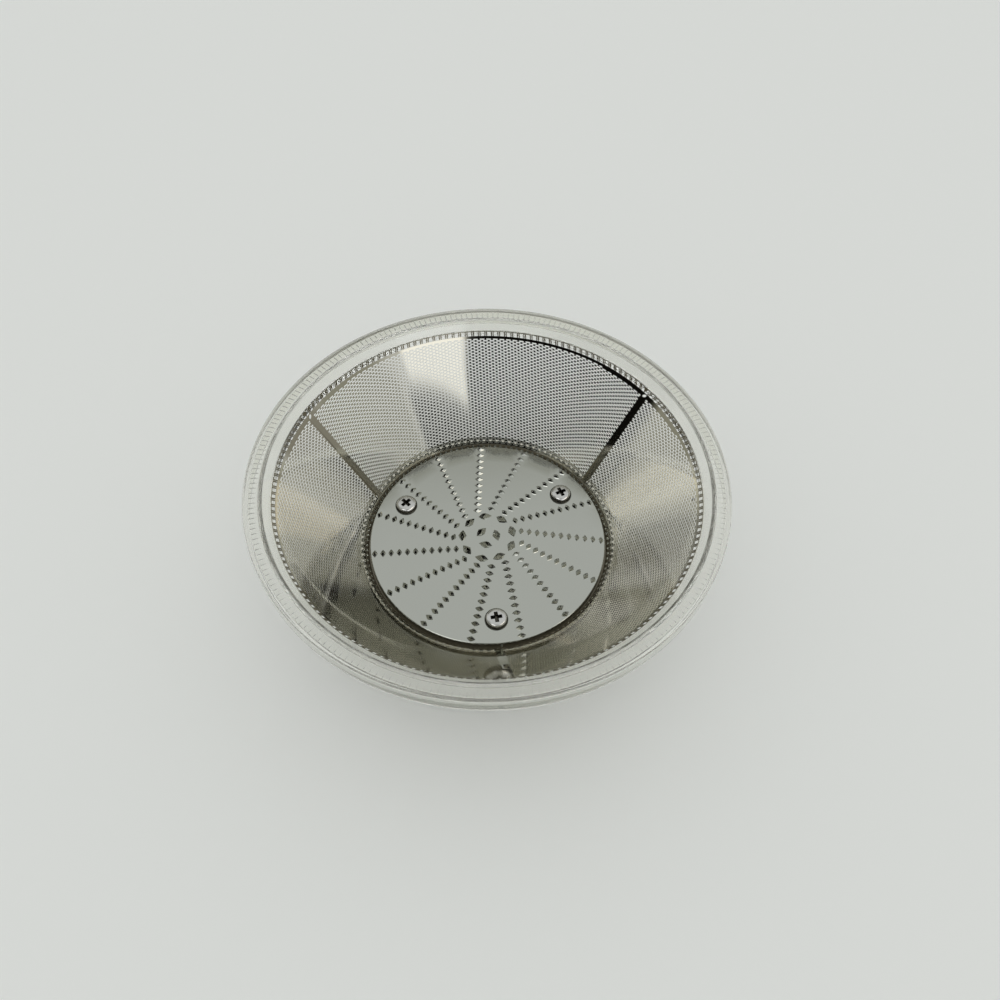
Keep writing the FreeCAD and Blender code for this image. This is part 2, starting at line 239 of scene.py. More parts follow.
foot_slant = slant_of(MESH_FOOT_LEVEL)
top_slant = slant_of(MESH_TOP_LEVEL)
sheet_width = top_slant - foot_slant
bar_slants = [foot_slant + sheet_width * step / BAR_STEPS for step in range(BAR_STEPS + 1)]
panel_shares = [2 * step / PANEL_STEPS - 1 for step in range(PANEL_STEPS + 1)]
panel_outline = [panel_border(share, foot_slant) for share in panel_shares]
panel_outline += [panel_border(1, slant) for slant in bar_slants[1:-1]]
panel_outline += [panel_border(-share, top_slant) for share in panel_shares]
panel_outline += [panel_border(-1, slant) for slant in bar_slants[-2:0:-1]]

hole_quarter = [(HOLE_HALF_LENGTH, HOLE_HALF_TIP), (HOLE_HALF_FLAT, HOLE_HALF_HEIGHT)]
sieve_hole = hole_quarter + [(-right, up) for right, up in reversed(hole_quarter)]
sieve_hole += [(-right, -up) for right, up in sieve_hole]
# Each row of slots is shifted by half a pitch from the last, and a slot that reaches a bar is cut
# off straight there.
panel_holes = []
row_total = int((HOLE_ROWS_TO - HOLE_ROWS_FROM) / HOLE_ROW_STEP) + 1
for row in range(row_total):
    slant = HOLE_ROWS_FROM + row * HOLE_ROW_STEP
    reach = panel_half(slant) - BAR_WIDTH / 2
    drop = max(0, slant - HOLE_ROWS_TO + HOLE_CORNER_DROP) / HOLE_CORNER_DROP
    reach = min(reach, panel_half(slant) * (1 - drop) ** HOLE_CORNER_POWER)
    shift = HOLE_PITCH / 2 * (row % 2)
    end_reach = reach + HOLE_HALF_LENGTH - HOLE_LEAST_WIDTH
    first = math.ceil((-end_reach - shift) / HOLE_PITCH)
    last = math.floor((end_reach - shift) / HOLE_PITCH)
    for place in range(first, last + 1):
        along = place * HOLE_PITCH + shift
        cut_hole = [
            (min(max(right, -reach - along), reach - along), up) for right, up in sieve_hole]
        panel_holes.append(patch(along, slant, cut_hole))

bar_eye = circle(BAR_EYE_RADIUS, BAR_EYE_SIDES)
panel_holes.append(patch(panel_half(BAR_EYE_SLANT), BAR_EYE_SLANT, bar_eye))
for total, start, slant, shape in (
        (RIM_ANCHORS, 0.5, RIM_ANCHOR_SLANT, rectangle(*RIM_ANCHOR_SIZE)),
        (RIM_ANCHORS - 1, 1.0, RIM_ANCHOR_SLANT, rectangle(*RIM_SLIT_SIZE)),
        (FOOT_ANCHORS, 0.5, FOOT_ANCHOR_SLANT, rectangle(*FOOT_ANCHOR_SIZE))):
    step = 2 * panel_half(slant) / (total + 2 * start - 1)
    for place in range(total):
        along = (place + start) * step - panel_half(slant) + PANEL_EDGE_SHIFT
        panel_holes.append(patch(along, slant, shape))

flat_points, sheet_triangles, sheet_loops = cut_sheet(panel_outline, panel_holes)
flat_points = np.array(flat_points)
sheet_slant = np.hypot(flat_points[:, 0], flat_points[:, 1])
sheet_turn = np.arctan2(flat_points[:, 0], flat_points[:, 1]) / math.sin(CONE_ANGLE)
point_total = len(flat_points)
panel_faces = [(c, b, a) for a, b, c in sheet_triangles]
panel_faces += [(a + point_total, b + point_total, c + point_total) for a, b, c in sheet_triangles]
for loop in sheet_loops:
    for place in range(len(loop)):
        start, end = loop[place - 1], loop[place]
        panel_faces.append((start, end, end + point_total, start + point_total))

sieve_steel, sieve_shader = rolled_stainless(
    "polished_stainless_sieve", SIEVE_TINT, grain_mm=0.12, polish=0.035, wear=0.035)
# Inside the plastic the sheet looks dull and brown, and one dark speck of pulp has dried near
# the rim.
tree = sieve_steel.node_tree
surface = add_node(tree, "ShaderNodeTexCoord")
height = add_node(tree, "ShaderNodeSeparateXYZ", [], [("Vector", surface.outputs["Object"])])
in_rim = add_node(
    tree, "ShaderNodeMapRange",
    [("From Min", RIM_COVERS_FROM * MM), ("From Max", (RIM_COVERS_FROM + RIM_COVER_FADE) * MM)],
    [("Value", height.outputs["Z"])])
in_hub = add_node(
    tree, "ShaderNodeMapRange",
    [("From Min", HUB_COVERS_TO * MM), ("From Max", (HUB_COVERS_TO - HUB_COVER_FADE) * MM)],
    [("Value", height.outputs["Z"])])
embedded = add_node(
    tree, "ShaderNodeMath", [("operation", "MAXIMUM")], [("Value", in_rim.outputs["Result"])])
tree.links.new(in_hub.outputs["Result"], embedded.inputs[1])
dulled = add_node(
    tree, "ShaderNodeMixRGB", [("Color1", srgb(SIEVE_TINT)), ("Color2", srgb(CAST_IN_TINT))],
    [("Fac", embedded.outputs["Value"])])
sheen = add_node(
    tree, "ShaderNodeMapRange", [("To Min", 1.0), ("To Max", CAST_IN_SHEEN)],
    [("Value", embedded.outputs["Value"])])
tree.links.new(sheen.outputs["Result"], sieve_shader.inputs["Metallic"])
blot = add_node(
    tree, "ShaderNodeTexNoise", [("Scale", 1 / (SPECK_GRAIN * MM)), ("Detail", 2.0)],
    [("Vector", surface.outputs["Object"])])
off_speck = add_node(
    tree, "ShaderNodeVectorMath", [("operation", "DISTANCE")],
    [("Vector", surface.outputs["Object"])])
off_speck.inputs[1].default_value = [side * MM for side in SPECK_PLACE]
ragged = add_node(
    tree, "ShaderNodeMath", [("operation", "MULTIPLY")], [("Value", off_speck.outputs["Value"])])
tree.links.new(blot.outputs["Fac"], ragged.inputs[1])
on_speck = add_node(
    tree, "ShaderNodeMapRange",
    [("From Min", SPECK_EDGE[0] * MM), ("From Max", SPECK_EDGE[1] * MM),
     ("To Min", 1.0), ("To Max", 0.0)],
    [("Value", ragged.outputs["Value"])])
specked = add_node(
    tree, "ShaderNodeMixRGB", [("Color2", srgb(PULP_TINT))],
    [("Fac", on_speck.outputs["Result"]), ("Color1", dulled.outputs["Color"])])
tree.links.new(specked.outputs["Color"], sieve_shader.inputs["Base Color"])
for name, heading in (
        ("mesh_panel_back", 90), ("mesh_panel_left", 210), ("mesh_panel_right", 330)):
    turn = sheet_turn + math.radians(heading)
    radius = sheet_slant * math.sin(CONE_ANGLE)
    level = SEAT_LEVEL + (radius - SEAT_MESH_RADIUS) / math.tan(CONE_ANGLE)
    inside = np.stack([radius * np.cos(turn), radius * np.sin(turn), level], axis=1)
    away = np.stack([
        np.cos(turn) * math.cos(CONE_ANGLE),
        np.sin(turn) * math.cos(CONE_ANGLE),
        np.full(point_total, -math.sin(CONE_ANGLE))], axis=1)
    tuck = FOOT_TUCK * np.clip((FOOT_TUCK_FROM - level) / FOOT_TUCK_RUN, 0, 1)
    inside -= away * tuck[:, None]
    panel_points = np.concatenate([inside, inside + away * SHEET_THICKNESS])
    panel = add_piece(name, panel_points, panel_faces, sieve_steel, "mesh_cone")
    # The sheet is rolled truly round, so it mirrors as the cone does and not as flat triangles.
    # The walls of the holes keep their own facets.
    corners = np.empty(len(panel.data.loops), dtype=np.int32)
    panel.data.loops.foreach_get("vertex_index", corners)
    flat = np.empty(len(panel.data.polygons) * 3)
    panel.data.polygons.foreach_get("normal", flat)
    sides = np.empty(len(panel.data.polygons), dtype=np.int32)
    panel.data.polygons.foreach_get("loop_total", sides)
    flat = np.repeat(flat.reshape(-1, 3), sides, axis=0)
    rolled = np.concatenate([-away, away])[corners]
    on_sheet = (flat * rolled).sum(axis=1) > ROLLED_FACE_LEAST
    panel.data.normals_split_custom_set(np.where(on_sheet[:, None], rolled, flat).tolist())

# Rim ring
# Clear styrene plastic, injection moulded on to the top edge of the sieve. A smooth band carries on
# the cone, a flat flange with fine radial ribs underneath runs outwards, and its edge turns down.
RIM_LEVEL = 53.9
RIM_OUTER = 72.52
RIBS = 240
RIB_HEIGHT = 0.14
RIB_PROFILE = (0.0, 0.0, 0.0, 0.0, 0.0, 0.0, 1.0, 0.0)
RIB_FROM = 68.65
RIB_TO = 70.75
RIB_MARGIN = 0.05
FLANGE_UNDER = 52.5
RIM_EDGE_FOOT = 48.2
RIM_EDGE_INSIDE = 71.02
RIM_LAP_FOOT = 48.9
RIM_TINT = "#FBFBF6"
# Painted shade colour for the corner of the flange step, and the size of its patches.
RIM_CORNER_SHADE_TINT = "#4A4840"
CORNER_SHADE_PATCH = 6
RIM_STEPS = RIBS * len(RIB_PROFILE)


def clear_plastic(name, tint, waviness_mm, haze):
    """Clear moulded styrene: see-through with a faint yellow-green cast, glossy, slightly wavy and
    a little milky with use. Its shadow is pale, as light passes through it."""
    material, tree, output = new_material(name)
    place = add_node(tree, "ShaderNodeTexCoord")
    flow = add_node(
        tree, "ShaderNodeTexNoise", [("Scale", 1 / (waviness_mm * MM)), ("Detail", 2.0)],
        [("Vector", place.outputs["Object"])])
    relief = add_node(
        tree, "ShaderNodeBump", [("Strength", 0.15), ("Distance", 0.05 * MM)],
        [("Height", flow.outputs["Fac"])])
    shader = add_node(
        tree, "ShaderNodeBsdfPrincipled",
        [("Base Color", srgb(tint)), ("Roughness", 0.05), ("IOR", 1.55),
         ("Transmission Weight", 1 - haze)],
        [("Normal", relief.outputs["Normal"])])
    passing = add_node(tree, "ShaderNodeBsdfTransparent", [("Color", srgb("#F4F5F0"))])
    path = add_node(tree, "ShaderNodeLightPath")
    blend = add_node(tree, "ShaderNodeMixShader", [], [("Fac", path.outputs["Is Shadow Ray"])])
    tree.links.new(shader.outputs["BSDF"], blend.inputs[1])
    tree.links.new(passing.outputs["BSDF"], blend.inputs[2])
    tree.links.new(blend.outputs["Shader"], output.inputs["Surface"])
    return material, shader


def rounded(corners, steps=3):
    """Outline through corners given as (radius, height, rounding), each eased by an arc."""
    outline = []
    for number, (across, up, ease) in enumerate(corners):
        corner = np.array((across, up), dtype=float)
        if ease == 0:
            outline.append(corner)
            continue
        back = np.array(corners[number - 1][:2]) - corner
        onward = np.array(corners[(number + 1) % len(corners)][:2]) - corner
        back /= np.linalg.norm(back)
        onward /= np.linalg.norm(onward)
        half = math.acos(np.clip(back @ onward, -1, 1)) / 2
        middle = back + onward
        centre = corner + middle / np.linalg.norm(middle) * ease / math.sin(half)
        start = corner + back * ease / math.tan(half) - centre
        end = corner + onward * ease / math.tan(half) - centre
        spread = math.acos(np.clip(start @ end / ease ** 2, -1, 1))
        for step in range(steps + 1):
            share = step / steps
            arm = start * math.sin((1 - share) * spread) + end * math.sin(share * spread)
            outline.append(centre + arm / math.sin(spread))
    return np.array(outline)


def turned(outlines):
    """Points and faces of a closed outline swept round the axis, one outline for each step."""
    steps, size = outlines.shape[:2]
    turns = np.linspace(0, 2 * math.pi, steps, endpoint=False)
    points = np.stack([
        outlines[:, :, 0] * np.cos(turns)[:, None],
        outlines[:, :, 0] * np.sin(turns)[:, None],
        outlines[:, :, 1]], axis=2).reshape(-1, 3)
    here = np.arange(steps)[:, None] * size
    onward = (np.arange(steps)[:, None] + 1) % steps * size
    place = np.arange(size)[None, :]
    after = (place + 1) % size
    faces = np.stack([here + place, onward + place, onward + after, here + after], axis=2)
    return points, faces.reshape(-1, 4).tolist()


rim_section = rounded([
    (66.95, 53.1, 0),
    (67.3, 53.1, 0.05),
    (67.4, RIM_LEVEL, 0.15),
    (RIM_OUTER, RIM_LEVEL, 0.6),
    (RIM_OUTER, RIM_EDGE_FOOT, 0.4),
    (RIM_EDGE_INSIDE, RIM_EDGE_FOOT, 0.3),
    (RIM_EDGE_INSIDE, FLANGE_UNDER, 0.25),
    (RIB_TO, FLANGE_UNDER, 0),
    (RIB_FROM, FLANGE_UNDER, 0),
    (68.3, FLANGE_UNDER, 0.3),
    (65.7, RIM_LAP_FOOT, 0.3),
    (64.32, RIM_LAP_FOOT, 0),
    (65.27, 50.22, 0),
    (64.89, 50.22, 0),
])
rib = np.tile(RIB_PROFILE, RIBS)
rim_radius, rim_height = rim_section.T
under_flange = np.abs(rim_height - FLANGE_UNDER) < 0.01
under_flange &= (rim_radius > RIB_FROM - RIB_MARGIN) & (rim_radius < RIB_TO + RIB_MARGIN)
rim_outlines = np.repeat(rim_section[None], RIM_STEPS, axis=0)
rim_outlines[:, :, 1] -= rib[:, None] * under_flange[None] * RIB_HEIGHT
rim_points, rim_faces = turned(rim_outlines)
rim_plastic, rim_shader = clear_plastic("clear_styrene_rim", RIM_TINT, waviness_mm=9.0, haze=0.06)
# Painted shade darkens the corner of the step round the flange in patches, most of it towards the
# front. Each line below is a measure, where its fade starts and ends, and the shares of painted shade
# there.
tree = rim_plastic.node_tree
surface = add_node(tree, "ShaderNodeTexCoord")
sides = add_node(tree, "ShaderNodeSeparateXYZ", [], [("Vector", surface.outputs["Object"])])
level_place = add_node(
    tree, "ShaderNodeMapping", [("Scale", (1, 1, 0))], [("Vector", surface.outputs["Object"])])
from_axis = add_node(
    tree, "ShaderNodeVectorMath", [("operation", "LENGTH")],
    [("Vector", level_place.outputs["Vector"])])
patchy = add_node(
    tree, "ShaderNodeTexNoise", [("Scale", 1 / (CORNER_SHADE_PATCH * MM)), ("Detail", 3.0)],
    [("Vector", surface.outputs["Object"])])
corner_shade = None
for source, start, end, low, high in (
        (from_axis.outputs["Value"], 66.75 * MM, 66.95 * MM, 0.0, 1.0),
        (from_axis.outputs["Value"], 67.75 * MM, 67.5 * MM, 0.0, 1.0),
        (sides.outputs["Z"], 52.75 * MM, 52.95 * MM, 0.0, 1.0),
        (sides.outputs["Y"], -40 * MM, 60 * MM, 1.0, 0.25),
        (patchy.outputs["Fac"], 0.3, 0.55, 0.6, 1.0)):
    share = add_node(
        tree, "ShaderNodeMapRange",
        [("From Min", start), ("From Max", end), ("To Min", low), ("To Max", high)],
        [("Value", source)])
    if corner_shade is None:
        corner_shade = share.outputs["Result"]
        continue
    both = add_node(tree, "ShaderNodeMath", [("operation", "MULTIPLY")], [("Value", corner_shade)])
    tree.links.new(share.outputs["Result"], both.inputs[1])
    corner_shade = both.outputs["Value"]
corner_shaded = add_node(
    tree, "ShaderNodeMixRGB", [("Color1", srgb(RIM_TINT)), ("Color2", srgb(RIM_CORNER_SHADE_TINT))],
    [("Fac", corner_shade)])
tree.links.new(corner_shaded.outputs["Color"], rim_shader.inputs["Base Color"])
add_piece(
    "rim_ring_clear", rim_points, rim_faces, rim_plastic, "rim_ring", crease=40)

# Hub
# Clear styrene plastic, moulded on to the foot of the sieve: a collar, a floor that the disc sits
# on, a skirt with ribs, and the keyed socket that the drive turns. The CAD solid has its whole shape.
hub_plastic, _ = clear_plastic("clear_styrene_hub", "#ECEDE4", waviness_mm=12.0, haze=0.15)
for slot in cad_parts["base_hub"].material_slots:
    slot.material = hub_plastic

# Grating disc
# Polished stainless disc, stamped out of sheet. A punch pierced it from below in slanting rows, and
# each stroke left a small ramp, open at its front; larger ones stand round the middle.
DISC_RADIUS = 39.2
DISC_THICKNESS = 0.6
DISC_TOP = SEAT_LEVEL + DISC_THICKNESS
DISC_EDGE = 0.35
EDGE_STEPS = 240
EDGE_TURNS = (-60, -30, 0, 30, 50, 70)
TOOTH_ROWS = 15
TOOTH_ROW_TURN = 11.2
TOOTH_ROW_OFFSET = 3.9
TOOTH_PITCH = 2.68
TEETH_IN_ROW = 11
TOOTH_EDGE = 1.4
TOOTH_HALF = (0.94, 1.45)
TOOTH_HEIGHT = 0.75
CROWN_RINGS = ((9, 8.5), (3, 3.0))  # How many large teeth, and how far from the middle.
CROWN_HALF = (1.4, 2.3)
CROWN_HEIGHT = 1.5
SCREW_CIRCLE = 30.85
SCREW_HEADINGS = (270, 30, 150)
SCREW_HOLE_RADIUS = 2.1
SCREW_HOLE_SIDES = 24
# Each ring of a burr: share of the foot, lean to the front, then shares of the height at its back,
# sides and front. The back is a ramp up to the lip, and the front is open.
BURR_RINGS = (
    (1.00, 0.00, 0.00, 0.00, 0.00), (0.94, 0.04, 0.10, 0.05, 0.00), (0.80, 0.16, 0.42, 0.20, 0.01),
    (0.64, 0.31, 0.80, 0.36, 0.02), (0.52, 0.42, 1.00, 0.45, 0.02), (0.48, 0.43, 0.92, 0.38, -0.02),
    (0.44, 0.20, 0.20, -0.15, -0.35), (0.36, 0.02, -0.50, -0.50, -0.50))
BURR_POINTS = 8
# Sides of the inner rings that get painted shade.
BURR_BACK_SIDES = (0, 5, 6, 7)
# Sides of the inner rings that get painted light.
BURR_FRONT_SIDES = (1, 2, 3, 4)
BURR_LIP_RING = 4
BURR_SIDE_BULGE = 1.12


def burr_ring(half_long, half_wide):
    """Eight points round a four-sided burr, corners and middles of sides by turns."""
    corners = [(half_long, 0), (0, half_wide), (-half_long, 0), (0, -half_wide)]
    ring = []
    for number, corner in enumerate(corners):
        following = corners[(number + 1) % 4]
        ring.append(corner)
        ring.append(tuple(BURR_SIDE_BULGE * (a + b) / 2 for a, b in zip(corner, following)))
    return np.array(ring)


TO_FRONT = np.clip(burr_ring(1.0, 1.0)[:, 1], 0, 1)
TO_BACK = np.clip(-burr_ring(1.0, 1.0)[:, 1], 0, 1)
first_tooth = math.sqrt((DISC_RADIUS - TOOTH_EDGE) ** 2 - TOOTH_ROW_OFFSET ** 2)
burrs = []
for row in range(TOOTH_ROWS):
    turn = math.radians(TOOTH_ROW_TURN + row * 360 / TOOTH_ROWS)
    for place in range(TEETH_IN_ROW):
        across = first_tooth - place * TOOTH_PITCH
        burrs.append((across, TOOTH_ROW_OFFSET, turn, *TOOTH_HALF, TOOTH_HEIGHT))
for total, reach in CROWN_RINGS:
    for place in range(total):
        turn = math.radians(TOOTH_ROW_TURN + place * 360 / total)
        burrs.append((reach, 0.0, turn, *CROWN_HALF, CROWN_HEIGHT))

screw_spots = [
    (SCREW_CIRCLE * math.cos(math.radians(heading)), SCREW_CIRCLE * math.sin(math.radians(heading)))
    for heading in SCREW_HEADINGS]
screw_holes = [circle(SCREW_HOLE_RADIUS, SCREW_HOLE_SIDES, *spot) for spot in screw_spots]
burr_feet = []
burr_mouths = []
burr_walls = []
for across, aside, turn, half_long, half_wide, height in burrs:
    spin = np.array([[math.cos(turn), math.sin(turn)], [-math.sin(turn), math.cos(turn)]])
    centre = np.array((across, aside)) @ spin
    ring = burr_ring(half_long, half_wide) @ spin
    rings = []
    for share, lean, back_rise, side_rise, front_rise in BURR_RINGS:
        forward = np.array((0, lean * half_wide)) @ spin
        rise = side_rise + TO_FRONT * (front_rise - side_rise) + TO_BACK * (back_rise - side_rise)
        rings.append(np.column_stack([centre + forward + ring * share, DISC_TOP + rise * height]))
    rings.append(np.column_stack([rings[-1][:, :2], np.full(BURR_POINTS, SEAT_LEVEL)]))
    burr_walls.append(rings)
    burr_feet.append([tuple(point) for point in rings[0][:, :2]])
    burr_mouths.append([tuple(point) for point in rings[-1][:, :2]])

disc_points = []
disc_faces = []


def add_sheet(level, outline, holes):
    """Adds a flat face with holes at a level, and gives the numbers of its loops' points."""
    points, triangles, loops = cut_sheet(outline, holes)
    base = len(disc_points)
    disc_points.extend((across, up, level) for across, up in points)
    disc_faces.extend(tuple(base + corner for corner in triangle) for triangle in triangles)
    return [[base + point for point in loop] for loop in loops]


def join_loops(lower, upper):
    """Adds a wall between two loops of as many points."""
    for place in range(len(lower)):
        disc_faces.append((lower[place - 1], lower[place], upper[place], upper[place - 1]))


burr_shaded_insides = []
burr_lit_fronts = []
flat_edge = circle(DISC_RADIUS - DISC_EDGE, EDGE_STEPS)
top_loops = add_sheet(DISC_TOP, flat_edge, screw_holes + burr_feet)
under_loops = add_sheet(SEAT_LEVEL, flat_edge, screw_holes + burr_mouths)
edge_loops = [under_loops[0]]
for degrees in EDGE_TURNS:
    turn = math.radians(degrees)
    radius = DISC_RADIUS + DISC_EDGE * (math.cos(turn) - 1)
    level = SEAT_LEVEL + DISC_THICKNESS / 2 * (1 + math.sin(turn))
    base = len(disc_points)
    disc_points.extend((across, up, level) for across, up in circle(radius, EDGE_STEPS))
    edge_loops.append(list(range(base, base + EDGE_STEPS)))
edge_loops.append(top_loops[0])
for lower, upper in zip(edge_loops, edge_loops[1:]):
    join_loops(lower, upper)
first_burr = 1 + len(screw_holes)
for lower, upper in zip(under_loops[1:first_burr], top_loops[1:first_burr]):
    join_loops(lower, upper)
for rings, foot_loop, mouth_loop in zip(
        burr_walls, top_loops[first_burr:], under_loops[first_burr:]):
    loops = [foot_loop]
    for ring in rings[1:-1]:
        base = len(disc_points)
        disc_points.extend(tuple(point) for point in ring)
        loops.append(list(range(base, base + BURR_POINTS)))
    loops.append(mouth_loop)
    for number, (lower, upper) in enumerate(zip(loops, loops[1:])):
        if number >= BURR_LIP_RING:
            burr_shaded_insides.extend(len(disc_faces) + place for place in BURR_BACK_SIDES)
            burr_lit_fronts.extend(len(disc_faces) + place for place in BURR_FRONT_SIDES)
        join_loops(lower, upper)

disc_steel, _ = rolled_stainless(
    "polished_stainless_disc", "#B4B6AF", grain_mm=0.15, polish=0.10, wear=0.05)
# Painted shade: the insides of the burrs' back halves, under the ramps, get a dark, dull copy of the
# steel.
burr_shade_steel, _ = rolled_stainless(
    "shaded_stainless_burr_inside", "#45433D", grain_mm=0.15, polish=0.3, wear=0.2)
# Painted light: the front of each opening gets a lighter satin copy of the steel, as if lit from all
# round.
burr_lit_steel, _ = rolled_stainless(
    "lit_satin_stainless_burr_front", "#C4C5BE", grain_mm=0.15, polish=0.5, wear=0.1)
disc = add_piece(
    "grater_disc_pierced", disc_points, disc_faces, disc_steel, "grater_disc",
    crease=12)
disc.data.materials.append(burr_shade_steel)
disc.data.materials.append(burr_lit_steel)
for number in burr_shaded_insides:
    disc.data.polygons[number].material_index = 1
for number in burr_lit_fronts:
    disc.data.polygons[number].material_index = 2

# Screws
# Three stainless tapping screws with pan heads and a cross recess hold the disc down on the hub.
# They are cold-headed from wire, and a plain shank stands in for the thread.
HEAD_RADIUS = 3.75
HEAD_HEIGHT = 1.75
HEAD_EDGE = 0.12
HEAD_DOME = (
    (1.2, 1.74), (2.2, 1.70), (2.7, 1.62), (3.0, 1.48), (3.35, 1.15), (3.6, 0.75), (3.72, 0.4))
SHANK_RADIUS = 1.6
SHANK_LENGTH = 11.0
SHANK_POINT = 1.5
SHANK_TIP_RADIUS = 0.5
SCREW_SIDES = 48
RECESS_SPAN = 3.9
RECESS_WIDTH = 1.3
RECESS_DEPTH = 1.5
RECESS_FOOT_SHARE = 0.45
RECESS_TOP_SHARE = 1.12
CUTTER_ABOVE = 0.5
SCREW_TURNS = (4, 20, 40)
# Where the screw heads get painted shade and a painted dark reflection.
CROSS_SHADE_MARGIN = 0.15
CROSS_SHADE_DEPTH = 0.12
SHOULDER_SHADE_RADIUS = 3.0
SHOULDER_SHADE_LEVEL = 1.3


def half_turned(section, steps):
    """Points and faces of an open outline from the axis to the axis, swept round it."""
    points = [(0, 0, section[0][1])]
    turns = np.linspace(0, 2 * math.pi, steps, endpoint=False)
    for radius, level in section[1:-1]:
        points.extend((radius * math.cos(turn), radius * math.sin(turn), level) for turn in turns)
    points.append((0, 0, section[-1][1]))
    rings = len(section) - 2
    faces = []
    for step in range(steps):
        after = (step + 1) % steps
        faces.append((0, 1 + step, 1 + after))
        for ring in range(rings - 1):
            here = 1 + ring * steps
            below = here + steps
            faces.append((here + step, below + step, below + after, here + after))
        last = 1 + (rings - 1) * steps
        faces.append((last + after, last + step, len(points) - 1))
    return points, faces


def recess_cutter(wide_x, wide_y):
    """Tapered blade of the cross recess, standing above the head's top."""
    top_level = HEAD_HEIGHT + CUTTER_ABOVE
    low_level = HEAD_HEIGHT - RECESS_DEPTH
    points = []
    for level, share in ((low_level, RECESS_FOOT_SHARE), (top_level, RECESS_TOP_SHARE)):
        for right, up in rectangle(wide_x, wide_y):
            points.append((right * share, up * share, level))
    faces = [(3, 2, 1, 0), (4, 5, 6, 7), (0, 1, 5, 4), (1, 2, 6, 5), (2, 3, 7, 6), (3, 0, 4, 7)]
    return points, faces


def loose_object(name, points, faces):
    """Object from points in millimetres that is only used for cutting."""
    mesh = bpy.data.meshes.new(name)
    mesh.from_pydata((np.asarray(points, dtype=float) * MM).tolist(), [], faces)
    item = bpy.data.objects.new(name, mesh)
    bpy.context.collection.objects.link(item)
    return item


screw_section = [
    (0, HEAD_HEIGHT), *HEAD_DOME, (HEAD_RADIUS, HEAD_EDGE), (HEAD_RADIUS, 0.0),
    (SHANK_RADIUS, 0.0), (SHANK_RADIUS, -SHANK_LENGTH + SHANK_POINT),
    (SHANK_TIP_RADIUS, -SHANK_LENGTH), (0, -SHANK_LENGTH)]
screw_blank = loose_object("screw_blank", *half_turned(screw_section, SCREW_SIDES))
cutters = [
    loose_object("recess_blade", *recess_cutter(*blade))
    for blade in ((RECESS_SPAN, RECESS_WIDTH), (RECESS_WIDTH, RECESS_SPAN))]
for cutter in cutters:
    cut = screw_blank.modifiers.new("recess", "BOOLEAN")
    cut.operation = "DIFFERENCE"
    cut.solver = "EXACT"
    cut.object = cutter
finished = screw_blank.evaluated_get(bpy.context.evaluated_depsgraph_get())
screw_mesh = bpy.data.meshes.new_from_object(finished)
for item in (screw_blank, *cutters):
    bpy.data.objects.remove(item)
screw_corners = np.array([vertex.co[:] for vertex in screw_mesh.vertices]) / MM
screw_faces = [tuple(face.vertices) for face in screw_mesh.polygons]
screw_middles = np.array([screw_corners[list(face)].mean(axis=0) for face in screw_faces])
from_middle = np.hypot(screw_middles[:, 0], screw_middles[:, 1])
level = screw_middles[:, 2]
in_cross = from_middle < RECESS_SPAN / 2 + CROSS_SHADE_MARGIN
in_cross &= level < HEAD_HEIGHT - CROSS_SHADE_DEPTH
on_shoulder = (from_middle > SHOULDER_SHADE_RADIUS) & (level < SHOULDER_SHADE_LEVEL)
shaded_faces = (in_cross | on_shoulder) & (level > 0)
screw_steel, _ = rolled_stainless(
    "bright_stainless_screw", "#C9C9C6", grain_mm=0.1, polish=0.16, wear=0.08)
# Painted shade in the cross and a painted dark reflection round the foot of each head: the steel is a
# dark copy there.
screw_shade_steel, _ = rolled_stainless(
    "shaded_stainless_screw", "#54524C", grain_mm=0.1, polish=0.3, wear=0.15)
for number, (spot, spin) in enumerate(zip(screw_spots, SCREW_TURNS), start=1):
    turn = math.radians(spin)
    rotate = np.array([
        [math.cos(turn), math.sin(turn), 0],
        [-math.sin(turn), math.cos(turn), 0],
        [0, 0, 1]])
    placed = screw_corners @ rotate + np.array((*spot, DISC_TOP))
    screw = add_piece(
        f"disc_screw_{number}", placed, screw_faces, screw_steel, "disc_screws",
        crease=32)
    screw.data.materials.append(screw_shade_steel)
    screw.data.polygons.foreach_set("material_index", shaded_faces.astype(np.int32))

# Floor, light and camera
# A pale matt table top under an even white sky, and the camera of the photograph. Cloths, walls and
# windows stand round the part for the polished steel to mirror, and only reflections see them. The
# long dark cloth in front is also seen through the clear rim, as a room is through real plastic.
FLOOR_SIDE = 12
PANEL_DISTANCE = 1.3
AIM_LEVEL = 40
CAMERA_PLACE = (-13.80, -151.59, 250.96)
CAMERA_RIGHT = (0.9953, -0.0957, 0.0142)
CAMERA_UP = (0.0695, 0.8089, 0.5839)
CAMERA_FOCUS_PIXELS = 830
IMAGE_PIXELS = 1000
SENSOR_MM = 36


def towards(heading, rise, distance):
    """Point at a heading and a rise in degrees, seen from the part."""
    flat = distance * math.cos(math.radians(rise))
    return Vector((
        flat * math.cos(math.radians(heading)),
        flat * math.sin(math.radians(heading)),
        distance * math.sin(math.radians(rise))))


def facing_part(place):
    """Turn of a panel at a place that makes it face the part."""
    return (Vector((0, 0, AIM_LEVEL * MM)) - place).to_track_quat("-Z", "Y").to_euler()


floor_material, floor_tree, floor_output = new_material("matt_table_top")
floor_shader = add_node(
    floor_tree, "ShaderNodeBsdfPrincipled", [("Base Color", srgb("#F2F3F0")), ("Roughness", 0.9)])
floor_tree.links.new(floor_shader.outputs["BSDF"], floor_output.inputs["Surface"])
bpy.ops.mesh.primitive_plane_add(size=FLOOR_SIDE, location=(0, 0, 0))
floor = bpy.context.object
floor.name = "floor"
floor.data.materials.append(floor_material)


